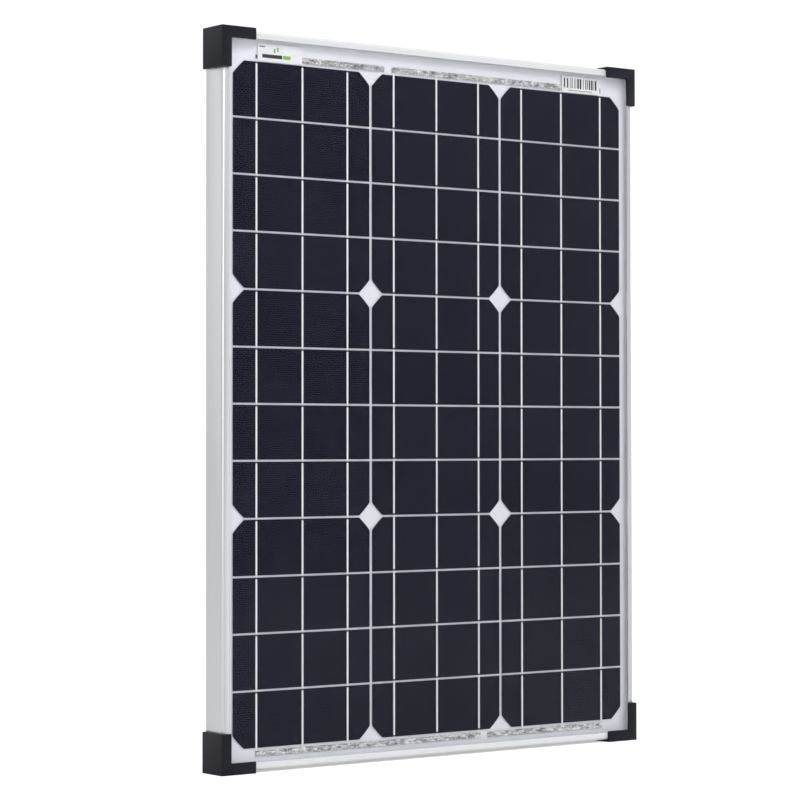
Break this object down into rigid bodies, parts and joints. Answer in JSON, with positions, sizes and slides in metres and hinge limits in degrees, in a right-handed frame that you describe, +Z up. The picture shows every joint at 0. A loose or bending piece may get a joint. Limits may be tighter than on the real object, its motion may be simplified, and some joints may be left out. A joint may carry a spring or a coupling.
{
  "type": "solar panel",
  "caption": "Upright framed solar panel with dark cell strips under glass, a silver frame, black corner protectors and a junction box behind.",
  "frame": {"origin": "middle of the footprint, on the surface that the two lower corner protectors stand on", "axes": "+Z up along the height of the upright panel, -Y out of the sunny glass face, +X to the right as the glass face is seen"},
  "size_m": [0.5066, 0.033, 0.687],
  "materials": {
    "frame_aluminium": "satin clear anodised",
    "key_aluminium": "mill finish",
    "protector_plastic": "fine satin moulded black",
    "edge_sealant": "cured white silicone",
    "glass": "clear tempered, lightly textured",
    "encapsulant": "clear laminated film",
    "solar_cell": "dark blue-black silicon under glass",
    "tinned_ribbon": "bright tinned copper",
    "backsheet": "white laminated film",
    "label": "coated white label",
    "box_pad": "cured bonding silicone",
    "box_plastic": "moulded black with a light grain",
    "rubber": "soft black rubber",
    "gland_plastic": "moulded black nylon",
    "steel": "plated",
    "terminal_brass": "stamped sheet",
    "diode_plastic": "moulded black"
  },
  "bodies": {
    "panel": {"frame_rail_left": "frame_aluminium", "frame_rail_right": "frame_aluminium", "frame_rail_top": "frame_aluminium", "frame_rail_bottom": "frame_aluminium", "corner_key_top_left": "key_aluminium", "corner_key_top_right": "key_aluminium", "corner_key_bottom_left": "key_aluminium", "corner_key_bottom_right": "key_aluminium", "corner_protector_top_left": "protector_plastic", "corner_protector_top_right": "protector_plastic", "corner_protector_bottom_left": "protector_plastic", "corner_protector_bottom_right": "protector_plastic", "edge_sealant": "edge_sealant", "front_glass": "glass", "front_encapsulant": "encapsulant", "rear_encapsulant": "encapsulant", "cell_string_left": "solar_cell", "cell_string_middle": "solar_cell", "cell_string_right": "solar_cell", "bus_ribbon_top_left": "tinned_ribbon", "bus_ribbon_top_right": "tinned_ribbon", "bus_ribbon_bottom_left": "tinned_ribbon", "bus_ribbon_bottom_right": "tinned_ribbon", "lead_ribbon_positive": "tinned_ribbon", "lead_ribbon_middle": "tinned_ribbon", "lead_ribbon_negative": "tinned_ribbon", "backsheet": "backsheet", "front_label": "label", "bar_label": "label", "rating_label": "label", "junction_box_pad": "box_pad", "junction_box_base": "box_plastic", "junction_box_seal": "rubber", "gland_seal_left": "rubber", "gland_seal_right": "rubber", "cable_gland_left": "gland_plastic", "cable_gland_right": "gland_plastic", "lid_hinge_pin": "steel", "clamp_screw_positive": "steel", "clamp_screw_middle": "steel", "clamp_screw_negative": "steel", "terminal_positive": "terminal_brass", "terminal_middle": "terminal_brass", "terminal_negative": "terminal_brass", "bypass_diode_1": "diode_plastic", "bypass_diode_2": "diode_plastic"},
    "lid": {"junction_box_lid": "box_plastic"},
    "left_nut": {"gland_nut_left": "gland_plastic"},
    "right_nut": {"gland_nut_right": "gland_plastic"}
  },
  "joints": [
    {"name": "lid_hinge", "type": "hinge", "parent": "panel", "child": "lid", "pos_m": [-0.056, 0.0071, 0.639], "axis": [1, 0, 0], "range_deg": [0, 110]},
    {"name": "left_nut_turn", "type": "hinge", "parent": "panel", "child": "left_nut", "pos_m": [-0.084, 0.0013, 0.545], "axis": [0, 0, 1], "continuous": true},
    {"name": "right_nut_turn", "type": "hinge", "parent": "panel", "child": "right_nut", "pos_m": [-0.028, 0.0013, 0.545], "axis": [0, 0, 1], "continuous": true}
  ]
}
